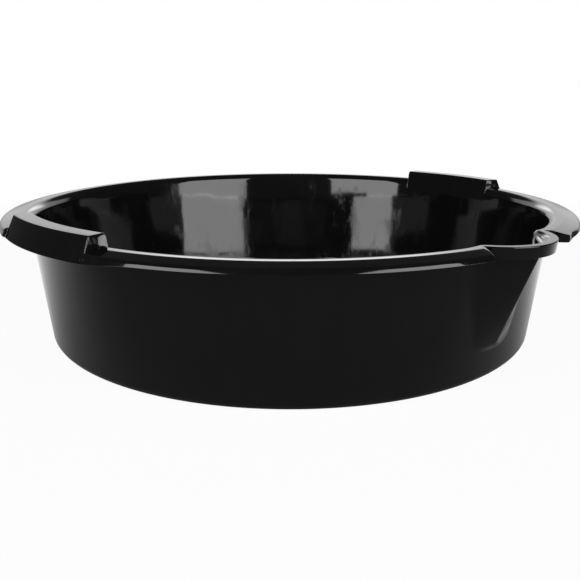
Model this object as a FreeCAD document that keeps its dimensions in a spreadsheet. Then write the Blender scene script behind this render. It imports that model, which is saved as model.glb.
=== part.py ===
"""Round oil drain pan of about 12 litres, moulded in one black plastic piece.

A drafted basin stands on a ring under its floor. Its top edge rolls over a narrow crest
into a flange all round. Two raised hollow grips stand in the flange, and between them the
wall swells into a V-shaped pouring channel that runs up into a rounded lip.

The moulding is modelled as the regions that its tool makes one by one. They meet face to
face: floor, base ring, side wall, three stretches of rim, two grips, channel and lip.

Frame: millimetres, +Z up, the origin on the surface that the pan stands on, in the middle.
The spout points to -Y and the grips lie near +X and -X.
"""
import FreeCAD, Part
import math
import os

import Sketcher
from FreeCAD import Rotation, Vector

doc = FreeCAD.newDocument("oil_drain_pan")

# Driving sizes, in millimetres and degrees

SIZES = {
    # overall
    "flange_radius": 228.0,
    "rim_height": 98.5,
    "wall_thickness": 2.5,
    # basin
    "wall_draft": 6.0,
    "base_ring_width": 19.0,
    "base_ring_height": 12.0,
    "base_corner_radius": 6.0,
    "floor_lift": 1.5,
    "floor_step_width": 3.0,
    # rim
    "rim_depth": 10.5,
    "crest_width": 10.7,
    "crest_round": 7.0,
    "flange_width": 12.5,
    "flange_fall": 2.2,
    "flange_drop": 4.9,
    "flange_edge_round": 3.0,
    # grips
    "grip_angle": 87.0,
    "grip_sweep": 28.0,
    "grip_rise": 7.0,
    "grip_inner_setback": 19.5,
    "grip_top_width": 10.5,
    "grip_skirt_setback": 4.0,
    "grip_skirt_depth": 8.7,
    "grip_edge_round": 1.6,
    # pouring channel and lip
    "channel_foot_height": 22.0,
    "channel_foot_half_width": 20.0,
    "channel_foot_reach": 1.2,
    "channel_top_half_width": 33.0,
    "channel_ridge_round": 9.0,
    "lip_radius": 42.0,
    "lip_skirt_depth": 8.0,
    "notch_inner_half_width": 31.0,
    "notch_outer_half_width": 51.2,
}

sizes = doc.addObject("Spreadsheet::Sheet", "sizes")
for row, (alias, value) in enumerate(SIZES.items(), start=1):
    sizes.set(f"A{row}", alias.replace("_", " "))
    sizes.set(f"B{row}", str(value))
    sizes.setAlias(f"B{row}", alias)
doc.recompute()

# Places that follow from the driving sizes


def wall_outer(height):
    """Formula for the outer radius of the drafted wall at a height."""
    return f"places.base_radius + ({height}) * tan(sizes.wall_draft)"


def wall_inner(height):
    """Formula for the inner radius of the drafted wall at a height."""
    return f"{wall_outer(height)} - sizes.wall_thickness / cos(sizes.wall_draft)"


def chord_depth(radius, half_width):
    """Formula for how far out a chord lies whose half width is given."""
    return f"sqrt(({radius})^2 - ({half_width})^2)"


PLACES = {
    "ground": "0",
    # radii from the flange inwards
    "crest_outer_radius": "sizes.flange_radius - sizes.flange_width",
    "crest_corner": "places.crest_outer_radius - sizes.crest_width",
    "base_radius": "places.crest_corner + sizes.wall_thickness / cos(sizes.wall_draft)"
                   " - sizes.rim_height * tan(sizes.wall_draft)",
    "floor_radius": "places.base_radius - sizes.base_ring_width",
    # floor and base ring
    "floor_top": "sizes.floor_lift + sizes.wall_thickness",
    "ring_inner_radius": "places.floor_radius + sizes.floor_step_width",
    "ring_top": "sizes.wall_thickness",
    "corner_inner_radius": wall_inner("sizes.wall_thickness"),
    "corner_inner_round": "sizes.base_corner_radius - sizes.wall_thickness",
    # side wall
    "rim_joint_height": "sizes.rim_height - sizes.rim_depth",
    "wall_foot_outer": wall_outer("sizes.base_ring_height"),
    "wall_foot_inner": wall_inner("sizes.base_ring_height"),
    "wall_head_outer": wall_outer("places.rim_joint_height"),
    "wall_head_inner": wall_inner("places.rim_joint_height"),
    # rim section
    "crest_under": "sizes.rim_height - sizes.wall_thickness",
    "crest_under_corner": wall_outer("places.crest_under"),
    "flange_brink": "sizes.rim_height - sizes.flange_fall",
    "flange_inner_edge": "sizes.flange_radius - sizes.wall_thickness",
    "flange_under_brink": "places.crest_under - sizes.flange_fall"
                          " * (1 - sizes.wall_thickness / sizes.flange_width)",
    "flange_edge_height": "sizes.rim_height - sizes.flange_drop",
    # grip section
    "grip_height": "sizes.rim_height + sizes.grip_rise",
    "grip_inner_radius": "sizes.flange_radius - sizes.grip_inner_setback",
    "grip_outer_radius": "places.grip_inner_radius + sizes.grip_top_width",
    "grip_skirt_radius": "sizes.flange_radius - sizes.grip_skirt_setback",
    "grip_skirt_height": "sizes.rim_height - sizes.grip_skirt_depth",
    "grip_wall_head": wall_outer("places.grip_skirt_height"),
    "grip_under": "places.grip_height - sizes.wall_thickness",
    "grip_hollow_inner": "places.grip_inner_radius + sizes.wall_thickness",
    "grip_hollow_outer": "places.grip_outer_radius - sizes.wall_thickness"
                         " + (places.grip_skirt_radius - places.grip_outer_radius)"
                         " * sizes.wall_thickness / (places.grip_height - places.grip_skirt_height)",
    "grip_hollow_skirt": "places.grip_skirt_radius - sizes.wall_thickness",
    "grip_hollow_sweep": "sizes.grip_sweep"
                         " - 2 * atan(sizes.wall_thickness / places.grip_outer_radius) / 1 deg",
    "below_grip": "places.rim_joint_height - 2 * sizes.wall_thickness",
    # channel
    "channel_back_negative": "-places.floor_radius",
    "channel_sill": "sizes.channel_foot_height + sizes.wall_thickness",
    "channel_inner_round": "sizes.channel_ridge_round - sizes.wall_thickness",
    "above_rim": "sizes.rim_height + sizes.wall_thickness",
    "above_grip": "places.grip_height + sizes.wall_thickness",
    # lip
    "lip_centre": "sizes.flange_radius - sizes.lip_radius",
    "lip_hollow_radius": "sizes.lip_radius - sizes.wall_thickness",
    "lip_skirt_height": "sizes.rim_height - sizes.lip_skirt_depth",
    "lip_sector": "2 * asin(sizes.notch_outer_half_width / sizes.flange_radius) / 1 deg",
    "beyond_flange": "sizes.flange_radius + sizes.wall_thickness",
    "below_joint": "places.rim_joint_height - sizes.wall_thickness",
    "below_skirt": "places.lip_skirt_height - sizes.wall_thickness",
    # sweeps and directions
    "front_rim_sweep": "sizes.grip_angle - sizes.grip_sweep / 2 - places.lip_sector / 2",
    "front_rim_middle": "(sizes.grip_angle - sizes.grip_sweep / 2 + places.lip_sector / 2) / 2",
    "back_rim_sweep": "360 - 2 * sizes.grip_angle - sizes.grip_sweep",
}

places = doc.addObject("Spreadsheet::Sheet", "places")


def add_place(alias, formula):
    """Give a worked-out place its own named cell."""
    row = len(places.getUsedCells()) // 2 + 1
    places.set(f"A{row}", alias.replace("_", " "))
    places.set(f"B{row}", f"={formula}")
    places.setAlias(f"B{row}", alias)


for alias, formula in PLACES.items():
    add_place(alias, formula)
doc.recompute()


def number(name):
    """Value of a named cell, written as sheet.alias with an optional minus sign."""
    sign = -1.0 if name.startswith("-") else 1.0
    sheet, alias = name.lstrip("-").split(".")
    return sign * float(doc.getObject(sheet).get(alias))


# Sketches and bodies

# Every round is rolled in this many equal flats, which keeps the long rim light
FLATS_IN_A_ROUND = 2


def origin_plane(body, role):
    """Plane of the body's own origin, by its role."""
    return next(item for item in body.Origin.OriginFeatures if item.Role == role)


def rounded(before, corner, after, radius):
    """Points along the round that touches both lines of a corner, evenly spaced."""
    to_before = (before - corner).normalize()
    to_after = (after - corner).normalize()
    half_corner = math.acos(to_before.dot(to_after)) / 2
    bisector = (to_before + to_after).normalize()
    centre = corner + bisector * (radius / math.sin(half_corner))
    start = corner + to_before * (radius / math.tan(half_corner))
    turn = (math.pi - 2 * half_corner) * (1 if (start - centre).cross(corner - centre).z > 0 else -1)
    step = Rotation(Vector(0, 0, 1), math.degrees(turn / FLATS_IN_A_ROUND))
    points = [start]
    for _ in range(FLATS_IN_A_ROUND):
        points.append(centre + step.multVec(points[-1] - centre))
    return points


def add_round(sketch, before, after, corner, points, radius):
    """Arc between two lines, kept as construction, with equal flats along it."""
    def constrain(*facts):
        return sketch.addConstraint(Sketcher.Constraint(*facts))

    arc = sketch.addGeometry(Part.Arc(points[0], points[FLATS_IN_A_ROUND // 2], points[-1]), True)
    forward = (sketch.getPoint(arc, 1) - points[0]).Length < (sketch.getPoint(arc, 2) - points[0]).Length
    arc_start, arc_end = (1, 2) if forward else (2, 1)
    constrain("Tangent", before, 2, arc, arc_start)
    constrain("Tangent", after, 1, arc, arc_end)
    sketch.setExpression(f"Constraints[{constrain('Radius', arc, number(radius))}]", radius)
    mark = sketch.addGeometry(Part.Point(corner), True)
    constrain("PointOnObject", mark, 1, before)
    constrain("PointOnObject", mark, 1, after)
    flats = [sketch.addGeometry(Part.LineSegment(*ends)) for ends in zip(points, points[1:])]
    constrain("Coincident", before, 2, flats[0], 1)
    constrain("Coincident", flats[-1], 2, after, 1)
    for flat, following in zip(flats, flats[1:]):
        constrain("Coincident", flat, 2, following, 1)
        constrain("PointOnObject", flat, 2, arc)
        constrain("Equal", flat, following)
    return mark


def outline(body, name, role, corners, lift=None):
    """Closed sketch through named corners, each (x, y) or (x, y, radius of its round)."""
    sketch = body.newObject("Sketcher::SketchObject", name)
    sketch.AttachmentSupport = (origin_plane(body, role), [""])
    sketch.MapMode = "FlatFace"
    if lift:
        sketch.setExpression("AttachmentOffset.Base.z", lift)
    points = [Vector(number(corner[0]), number(corner[1]), 0) for corner in corners]
    following = points[1:] + points[:1]
    rounds = {index: rounded(points[index - 1], points[index], following[index], number(corner[2]))
              for index, corner in enumerate(corners) if len(corner) == 3}
    starts = [rounds[index][-1] if index in rounds else point for index, point in enumerate(points)]
    ends = [rounds[index][0] if index in rounds else point for index, point in enumerate(points)]
    lines = [sketch.addGeometry(Part.LineSegment(start, end))
             for start, end in zip(starts, ends[1:] + ends[:1])]
    for index, corner in enumerate(corners):
        before, after = lines[index - 1], lines[index]
        if index in rounds:
            held = add_round(sketch, before, after, points[index], rounds[index], corner[2])
        else:
            sketch.addConstraint(Sketcher.Constraint("Coincident", before, 2, after, 1))
            held = after
        for kind, value in zip(("DistanceX", "DistanceY"), corner):
            place = sketch.addConstraint(Sketcher.Constraint(kind, -1, 1, held, 1, number(value)))
            sketch.setExpression(f"Constraints[{place}]", value)
    return sketch


def turned_body(name, corners, sweep=None, direction=None):
    """Body turned about the upright axis, centred on a direction given as a formula."""
    body = doc.addObject("PartDesign::Body", name)
    profile = outline(body, f"{name}_section", "XZ_Plane", corners)
    turn = body.newObject("PartDesign::Revolution", f"{name}_turn")
    turn.Profile = profile
    turn.ReferenceAxis = (profile, ["V_Axis"])
    turn.Midplane = True
    turn.Angle = 360
    if sweep:
        turn.setExpression("Angle", sweep)
    if direction:
        body.Placement.Rotation = Rotation(Vector(0, 0, 1), 1)
        body.setExpression("Placement.Rotation.Angle", direction)
    return body


def combine(kind, name, base, tool):
    """Boolean of two objects."""
    result = doc.addObject(f"Part::{kind}", name)
    result.Base = base
    result.Tool = tool
    return result


# Floor and base ring


def make_floor():
    """Flat floor, lifted off the ground."""
    return turned_body("floor_panel", (
        ("places.ground", "sizes.floor_lift"),
        ("places.floor_radius", "sizes.floor_lift"),
        ("places.floor_radius", "places.floor_top"),
        ("places.ground", "places.floor_top"),
    ))


def make_base_ring():
    """Standing ring that steps down from the floor and turns up into the wall."""
    return turned_body("base_ring", (
        ("places.floor_radius", "sizes.floor_lift"),
        ("places.ring_inner_radius", "places.ground"),
        ("places.base_radius", "places.ground", "sizes.base_corner_radius"),
        ("places.wall_foot_outer", "sizes.base_ring_height"),
        ("places.wall_foot_inner", "sizes.base_ring_height"),
        ("places.corner_inner_radius", "places.ring_top", "places.corner_inner_round"),
        ("places.ring_inner_radius", "places.ring_top"),
        ("places.floor_radius", "places.floor_top"),
    ))


# Pouring channel, as an outer and an inner form


def add_channel_level(side, level, height, half_width, reach):
    """Name the places of one channel section: its half width, its root and its ridge."""
    radius = wall_outer(height) if side == "outer" else wall_inner(height)
    stem = f"{side}_{level}"
    add_place(f"{stem}_half", half_width)
    add_place(f"{stem}_root", f"-{chord_depth(radius, half_width)}")
    add_place(f"{stem}_ridge", f"-({reach})")


def channel_section(body, side, level, lift, ridge_round):
    """Section of the channel at one level: straight cheeks, then a V with a round ridge."""
    stem = f"places.{side}_{level}"
    half, root, ridge = f"{stem}_half", f"{stem}_root", f"{stem}_ridge"
    return outline(body, f"{body.Name}_{level}", "XY_Plane", (
        (half, "places.channel_back_negative"),
        (half, root),
        ("places.ground", ridge, ridge_round),
        (f"-{half}", root),
        (f"-{half}", "places.channel_back_negative"),
    ), lift)


def ridge_corner(reach, half_width, root, radius):
    """Formula for the sharp corner whose round of that radius just reaches the ridge."""
    rise = f"(({reach}) - ({root}))"
    return f"({reach}) + ({radius}) * ({rise} / ({half_width}))^2 / 2"


def make_channel_form(side, levels, ridge_round):
    """Solid form through the channel's sections, outer skin or inner hollow."""
    body = doc.addObject("PartDesign::Body", f"channel_{side}")
    sections = []
    for level, (height, half_width, reach) in levels.items():
        radius = wall_outer(height) if side == "outer" else wall_inner(height)
        root = chord_depth(radius, half_width)
        add_channel_level(side, level, height, half_width,
                          ridge_corner(reach, half_width, root, ridge_round))
        doc.recompute()
        sections.append(channel_section(body, side, level, height, ridge_round))
    loft = body.newObject("PartDesign::AdditiveLoft", f"channel_{side}_loft")
    loft.Profile = sections[0]
    loft.Sections = sections[1:]
    loft.Ruled = True
    return body


CHANNEL_TOP_REACH = "(sizes.flange_radius - sizes.wall_thickness)"
CHANNEL_FOOT_REACH = f"({wall_outer('sizes.channel_foot_height')} + sizes.channel_foot_reach)"
CHANNEL_SILL_REACH = (f"{CHANNEL_FOOT_REACH} + ({CHANNEL_TOP_REACH} - {CHANNEL_FOOT_REACH})"
                      " * sizes.wall_thickness"
                      " / (places.lip_skirt_height - sizes.channel_foot_height)")
INNER_HALF_FOOT = "sizes.channel_foot_half_width - sizes.wall_thickness / 2"
INNER_HALF_TOP = "sizes.channel_top_half_width - sizes.wall_thickness / 2"


def make_channel_forms():
    """Outer and inner form of the channel; the difference is its wall."""
    outer = make_channel_form("outer", {
        "foot": ("sizes.channel_foot_height", "sizes.channel_foot_half_width",
                 CHANNEL_FOOT_REACH),
        "knee": ("places.lip_skirt_height", "sizes.channel_top_half_width", CHANNEL_TOP_REACH),
        "head": ("places.crest_under", "sizes.channel_top_half_width", CHANNEL_TOP_REACH),
    }, "sizes.channel_ridge_round")
    inner = make_channel_form("inner", {
        "foot": ("places.channel_sill", INNER_HALF_FOOT,
                 f"{CHANNEL_SILL_REACH} - sizes.wall_thickness"),
        "knee": ("places.lip_skirt_height", INNER_HALF_TOP,
                 f"{CHANNEL_TOP_REACH} - sizes.wall_thickness"),
        "head": ("places.above_rim", INNER_HALF_TOP,
                 f"{CHANNEL_TOP_REACH} - sizes.wall_thickness"),
    }, "places.channel_inner_round")
    return outer, inner


def padded_body(name, role, corners, lift, length):
    """Body padded from a sketch that is lifted off one of its origin planes."""
    body = doc.addObject("PartDesign::Body", name)
    pad = body.newObject("PartDesign::Pad", f"{name}_pad")
    pad.Profile = outline(body, f"{name}_outline", role, corners, lift)
    pad.setExpression("Length", length)
    return body


def make_channel_gap():
    """Block with the channel's slanting cheeks, which opens the side wall for it."""
    return padded_body("channel_gap", "XZ_Plane", (
        ("-sizes.channel_foot_half_width", "sizes.channel_foot_height"),
        ("sizes.channel_foot_half_width", "sizes.channel_foot_height"),
        ("sizes.channel_top_half_width", "places.lip_skirt_height"),
        ("-sizes.channel_top_half_width", "places.lip_skirt_height"),
    ), "places.floor_radius", "places.beyond_flange - places.floor_radius")


def make_basin_room():
    """Room inside the basin, flaring at the top as the crest rounds over."""
    return turned_body("basin_room", (
        ("places.ground", "sizes.base_ring_height"),
        ("places.wall_foot_inner", "sizes.base_ring_height"),
        ("places.crest_corner", "sizes.rim_height", "sizes.crest_round"),
        ("places.crest_outer_radius", "sizes.rim_height"),
        ("places.crest_outer_radius", "places.above_grip"),
        ("places.ground", "places.above_grip"),
    ))


def make_wall_and_channel(outer, inner, room):
    """Side wall with its gap, and the channel that fills it."""
    wall = turned_body("wall_ring", (
        ("places.wall_foot_inner", "sizes.base_ring_height"),
        ("places.wall_foot_outer", "sizes.base_ring_height"),
        ("places.wall_head_outer", "places.rim_joint_height"),
        ("places.wall_head_inner", "places.rim_joint_height"),
    ))
    side_wall = combine("Cut", "side_wall", wall, make_channel_gap())
    channel_skin = combine("Cut", "channel_skin", outer, inner)
    pour_channel = combine("Cut", "pour_channel", channel_skin, room)
    return side_wall, pour_channel


# Rim, lip and grips

RIM_SECTION = (
    ("places.wall_head_inner", "places.rim_joint_height"),
    ("places.crest_corner", "sizes.rim_height", "sizes.crest_round"),
    ("places.crest_outer_radius", "sizes.rim_height"),
    ("sizes.flange_radius", "places.flange_brink", "sizes.flange_edge_round"),
    ("sizes.flange_radius", "places.flange_edge_height"),
    ("places.flange_inner_edge", "places.flange_edge_height"),
    ("places.flange_inner_edge", "places.flange_under_brink"),
    ("places.crest_outer_radius", "places.crest_under"),
    ("places.crest_under_corner", "places.crest_under"),
    ("places.wall_head_outer", "places.rim_joint_height"),
)


def make_rims():
    """Three stretches of rim: behind, and each side of the spout."""
    return [
        turned_body("rim_back", RIM_SECTION, "places.back_rim_sweep", "90"),
        turned_body("rim_front_right", RIM_SECTION, "places.front_rim_sweep",
                    "-90 + places.front_rim_middle"),
        turned_body("rim_front_left", RIM_SECTION, "places.front_rim_sweep",
                    "-90 - places.front_rim_middle"),
    ]


def make_lip(outer, inner, room):
    """Rounded pouring lip, with the rim's stub on each side and a notch beside it."""
    sector = turned_body("lip_sector", RIM_SECTION, "places.lip_sector", "-90")
    notch = padded_body("lip_notch", "XY_Plane", (
        ("sizes.notch_inner_half_width", "-places.crest_under_corner"),
        ("sizes.notch_outer_half_width", "-places.beyond_flange"),
        ("-sizes.notch_outer_half_width", "-places.beyond_flange"),
        ("-sizes.notch_inner_half_width", "-places.crest_under_corner"),
    ), "places.below_joint", "places.above_rim - places.below_joint")
    stubs = combine("Cut", "lip_stubs", sector, notch)
    block = doc.addObject("Part::Cylinder", "lip_block")
    block.setExpression("Radius", "sizes.lip_radius")
    block.setExpression("Height", "sizes.rim_height - places.lip_skirt_height")
    block.setExpression("Placement.Base.y", "-places.lip_centre")
    block.setExpression("Placement.Base.z", "places.lip_skirt_height")
    hollow = doc.addObject("Part::Cylinder", "lip_hollow")
    hollow.setExpression("Radius", "places.lip_hollow_radius")
    hollow.setExpression("Height", "places.crest_under - places.below_skirt")
    hollow.setExpression("Placement.Base.y", "-places.lip_centre")
    hollow.setExpression("Placement.Base.z", "places.below_skirt")
    cap = combine("Cut", "lip_cap", block, hollow)
    joined = combine("Fuse", "lip_joined", stubs, cap)
    roomy = combine("Cut", "lip_without_room", joined, room)
    opened = combine("Cut", "lip_opened", roomy, inner)
    return combine("Cut", "pour_lip", opened, outer)


def make_grip(name, direction):
    """Raised hollow grip: a flat top, a sloping skirt and a plate across each end."""
    grip = turned_body(name, (
        ("places.wall_head_inner", "places.rim_joint_height"),
        ("places.grip_inner_radius", "places.grip_height", "sizes.grip_edge_round"),
        ("places.grip_outer_radius", "places.grip_height", "sizes.grip_edge_round"),
        ("places.grip_skirt_radius", "places.grip_skirt_height"),
        ("places.grip_wall_head", "places.grip_skirt_height"),
        ("places.wall_head_outer", "places.rim_joint_height"),
    ), "sizes.grip_sweep", direction)
    hollow = outline(grip, f"{name}_hollow", "XZ_Plane", (
        ("places.wall_head_outer", "places.below_grip"),
        ("places.wall_head_outer", "places.rim_joint_height"),
        ("places.grip_hollow_inner", "places.grip_under"),
        ("places.grip_hollow_outer", "places.grip_under"),
        ("places.grip_hollow_skirt", "places.grip_skirt_height"),
        ("places.grip_hollow_skirt", "places.below_grip"),
    ))
    groove = grip.newObject("PartDesign::Groove", f"{name}_finger_room")
    groove.Profile = hollow
    groove.ReferenceAxis = (hollow, ["V_Axis"])
    groove.Midplane = True
    groove.setExpression("Angle", "places.grip_hollow_sweep")
    return grip


# Assembly and files


def check(objects):
    """Stop if any object failed or any sub-part has no sound shape."""
    for item in doc.Objects:
        if "Invalid" in item.State or "Error" in item.State:
            raise RuntimeError(f"{item.Name} failed: {item.State}")
    for item in objects:
        if item.Shape.isNull() or not item.Shape.isValid():
            raise RuntimeError(f"{item.Name} has no sound shape")


def main():
    """Build every sub-part and write one file for each."""
    outer, inner = make_channel_forms()
    room = make_basin_room()
    side_wall, pour_channel = make_wall_and_channel(outer, inner, room)
    parts = [make_floor(), make_base_ring(), side_wall, pour_channel, *make_rims(),
             make_lip(outer, inner, room),
             make_grip("grip_right", "-90 + sizes.grip_angle"),
             make_grip("grip_left", "-90 - sizes.grip_angle")]
    doc.recompute()
    check(parts)
    os.makedirs("parts", exist_ok=True)
    for item in parts:
        item.Label = item.Name
        item.Shape.exportStep(os.path.join("parts", f"{item.Label}.step"))
        box = item.Shape.BoundBox
        print(f"{item.Label}: {len(item.Shape.Solids)} solid, {item.Shape.Volume / 1000:.1f} cm3, "
              f"z {box.ZMin:.2f} to {box.ZMax:.2f}")
    return parts


main()
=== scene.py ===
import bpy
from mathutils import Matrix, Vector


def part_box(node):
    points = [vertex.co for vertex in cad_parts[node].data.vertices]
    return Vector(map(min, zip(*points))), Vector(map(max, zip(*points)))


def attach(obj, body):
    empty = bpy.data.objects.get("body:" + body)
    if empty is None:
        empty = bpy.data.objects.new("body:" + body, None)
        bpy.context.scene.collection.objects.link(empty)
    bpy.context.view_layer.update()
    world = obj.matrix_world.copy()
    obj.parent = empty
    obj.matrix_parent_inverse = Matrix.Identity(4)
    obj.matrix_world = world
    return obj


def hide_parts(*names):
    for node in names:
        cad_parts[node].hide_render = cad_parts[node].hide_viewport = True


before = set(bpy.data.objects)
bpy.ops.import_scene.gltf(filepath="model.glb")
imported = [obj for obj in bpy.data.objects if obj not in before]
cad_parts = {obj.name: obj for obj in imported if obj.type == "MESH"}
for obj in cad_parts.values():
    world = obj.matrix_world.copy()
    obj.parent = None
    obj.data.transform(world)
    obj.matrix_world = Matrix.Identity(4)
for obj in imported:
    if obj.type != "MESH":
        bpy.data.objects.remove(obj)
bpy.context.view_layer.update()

# %% [markdown]
# # A moulded oil drain pan
#
# The object is one injection moulding in glossy black plastic: a drafted basin on a
# standing ring, a rolled rim, two raised hollow grips and a V-shaped pouring channel that
# runs up into a rounded lip. The measured frame gives nearly every size; only the grips
# are a little higher and wider here, as the photograph shows them. This lesson works the
# whole moulding out as one thick sheet, an inside skin and an outside skin over the same
# grid of directions and rows, and then cuts that sheet into the regions that the frame
# names. Because all regions share one grid, their edges meet exactly and the shading runs
# across them without a seam, as it does on the real moulding.

# %% Tools and sizes
import math

import bpy
import numpy as np
from mathutils import Vector

MM = 0.001
DRAFT_DEGREES = 6.0
GRIP_LIFT, GRIP_SKIRT_SPREAD = 0.7, 2.3


def corner_mm(node, which):
    """Lowest (0) or highest (1) corner of a frame node, in millimetres to the third decimal."""
    return np.round(np.array(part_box(node)[which]) / MM, 3)


flange_radius = corner_mm("rim_back", 1)[1]
crest_height = corner_mm("rim_back", 1)[2]
joint_height = corner_mm("rim_back", 0)[2]
grip_height = corner_mm("grip_right", 1)[2] + GRIP_LIFT
grip_skirt_radius = corner_mm("grip_right", 1)[0] + GRIP_SKIRT_SPREAD
ring_height = corner_mm("base_ring", 1)[2]
ring_outer_radius = corner_mm("base_ring", 1)[0]
floor_radius, _, floor_top = corner_mm("floor_panel", 1)
floor_under = corner_mm("floor_panel", 0)[2]
foot_height = corner_mm("pour_channel", 0)[2]
wall = floor_top - floor_under
draft = math.tan(math.radians(DRAFT_DEGREES))
print(f"flange radius {flange_radius:.1f}, crest {crest_height:.1f}, "
      f"grips {grip_height:.1f}, wall {wall:.1f} mm")

# %% [markdown]
# ## Directions and rows
#
# Every point of the sheet has a direction round the pan, measured in degrees from the
# spout, and a place along the section. Directions are a degree apart where nothing
# happens, closer in the spout, its ridge and its notches, and closest where a grip's end
# plate stands up from the rim. A subdivided circle would spend the same number of points
# everywhere; a list of directions puts them where the form turns. The pan's right is +X.

# %% Directions
SPOUT_SPREAD = 16.0
CHANNEL_EDGE, LIP_EDGE = 9.25, 14.0
GRIP_START, GRIP_END, GRIP_TURN = 73.0, 101.0, 1.1
END_PLATE_AT = np.array([-0.8, -0.4, -0.15, -0.04, 0.0, 0.04, 0.15, 0.4, 0.8])
END_PLATE_RISE = np.array([0.0, 0.02, 0.07, 0.15, 0.5, 0.85, 0.93, 0.98, 1.0])
PLATE_CLEARANCE = 0.4
RIM_HALF_WIDTH = 12.5
rim_middle_radius = flange_radius - RIM_HALF_WIDTH
degrees_per_mm = math.degrees(1.0 / rim_middle_radius)

end_plates = [side * edge - GRIP_TURN + turn * (END_PLATE_AT + depth) * degrees_per_mm
              for side in (1, -1)
              for edge, turn in ((GRIP_START, side), (GRIP_END, -side))
              for depth in (0.0, wall)]
plate_directions = np.concatenate(end_plates)
open_directions = np.arange(-179.0, 181.0)
to_plate = np.min(np.abs(open_directions[:, None] - plate_directions), axis=1)
open_directions = open_directions[(np.abs(open_directions) > SPOUT_SPREAD) & (to_plate >= PLATE_CLEARANCE)]
spout_directions = np.arange(-SPOUT_SPREAD, SPOUT_SPREAD + 0.1, 0.25)
ridge_directions = np.arange(-1.2, 1.21, 0.1)
notch_directions = np.arange(8.0, 14.0, 0.12)
columns = np.unique(np.round(np.concatenate(
    [open_directions, spout_directions, ridge_directions, notch_directions, -notch_directions,
     plate_directions]), 4))
spout_side, grip_side = np.abs(columns), np.abs(columns + GRIP_TURN)
print(len(columns), "directions round the pan")

# %% [markdown]
# ## Rounded sections
#
# A moulded section is straight stretches joined by rounds. Drawing the rounds with a
# bevel modifier would round every edge alike and break the row count, so a small function
# lays them in by formula. It works on all directions at once, so a section may change
# from one direction to the next. Three more helpers join numbers smoothly, where one form
# runs into another.

# %% The rounded line and smooth joins
def rounded_line(corners, reaches, straights, arcs):
    """Rows of points along a line whose inner corners are rounded.

    A round replaces a corner C by the circular arc that touches both sides at the distance
    'reach' from C. With P and Q the two touching points and w the cosine of half the turn,
    its points are ((1-t)^2 P + 2t(1-t) w C + t^2 Q) / ((1-t)^2 + 2t(1-t) w + t^2).
    """
    corners = np.stack([np.stack(np.broadcast_arrays(r, z, columns)[:2], -1) for r, z in corners])
    along = np.diff(corners, axis=0)
    along /= np.linalg.norm(along, axis=-1, keepdims=True)
    rows, last = [corners[0]], corners[0]
    for k in range(1, len(corners)):
        inner = k < len(corners) - 1
        reach = np.broadcast_to(reaches[k - 1], columns.shape)[:, None] if inner else 0.0
        start = corners[k] - reach * along[k - 1]
        count = straights[k - 1]
        rows += [last + (start - last) * step / count for step in range(1, count + 1)]
        if inner:
            last = corners[k] + reach * along[k]
            cosine = np.sum(along[k - 1] * along[k], -1, keepdims=True)
            weight = np.sqrt((1 + cosine) / 2)
            for t in np.linspace(0, 1, arcs[k - 1] + 1)[1:]:
                middle = 2 * t * (1 - t) * weight
                share = (1 - t) ** 2 + middle + t ** 2
                rows.append(((1 - t) ** 2 * start + middle * corners[k] + t ** 2 * last) / share)
    return np.stack(rows)


def ease(low, high, value):
    """Smooth step: s*s*(3 - 2s), where s runs from 0 at 'low' to 1 at 'high'."""
    s = np.clip((value - low) / (high - low), 0, 1)
    return s * s * (3 - 2 * s)


def soft_max(a, b, reach):
    """The larger of a and b, with max(reach - |a - b|, 0)^2 / (4 reach) added where they are close."""
    return np.maximum(a, b) + np.maximum(reach - np.abs(a - b), 0) ** 2 / (4 * reach)


def soft_min(a, b, reach):
    """The smaller of a and b, less the same rounding."""
    return -soft_max(-a, -b, reach)


print("soft maximum of 1 and 1 with a reach of 1:", soft_max(1.0, 1.0, 1.0))

# %% [markdown]
# ## Wall and pouring channel
#
# The basin's wall is a cone with 6 degrees of draft. At the spout it swells into a V whose
# ridge leaves the wall just above the standing ring and reaches the lip's edge at the top.
# The V could be a boolean of two lofts, but its soft roots and the rounded foot are what
# the light shows. So it is one formula for the radius: a V in plan, joined to the cone by
# a soft maximum, and ended at the foot by a soft minimum with a slope that rises from a
# U-shaped line. Inside, under the lip, the channel opens into a shallow scoop, which is a
# limit on the radius that follows the lip's arc.

# %% Sizes of the channel and the lip
SKIRT_DROP = 8.0
FOOT_HALF_WIDTH, TOP_HALF_WIDTH = 20.0, 33.0
RIDGE_ROUND, INSIDE_RIDGE_SHARE = 1.7, 0.6
FOOT_RIDGE_STAND, TOP_RIDGE_SETBACK = 1.7, 0.7
RIDGE_LEAN_ALLOWANCE = 0.15
ROOT_ROUND, SMALLEST_ROOT = 25.0, 0.02
FOOT_LIFT, INSIDE_FOOT_LIFT = 0.3, 2.0
FOOT_HALF_FLAT, FOOT_CURVE = 10.0, 0.037
FOOT_SLOPE, FOOT_ROUND, SWELLING_ROUND = 1.25, 4.5, 0.8
NOTHING = 1e-6
LIP_RADIUS, LIP_OVERHANG = 40.0, 4.0
LIP_TURN = math.radians(1.0)
MOUTH_INSET, MOUTH_LEAN, MOUTH_ROUND = 7.5, 0.1, 2.5
MOUTH_HALF_DEGREES, MOUTH_OPENING = 4.0, 0.8
FRONT_COSINE = 0.9
skirt_foot = crest_height - SKIRT_DROP
lip_centre = flange_radius + LIP_OVERHANG - LIP_RADIUS
print(f"lip centre {lip_centre:.1f} mm from the axis, skirts end {skirt_foot:.1f} mm up")


# %% Wall and channel formulas
def wall_radius(z, skin):
    """Outer radius of the cone, growing by tan(6 deg) per millimetre; the inside is a wall thickness in."""
    outer = ring_outer_radius + (z - ring_height) * draft
    return outer - (wall * math.hypot(1, draft) if skin == "inside" else 0.0)


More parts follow.
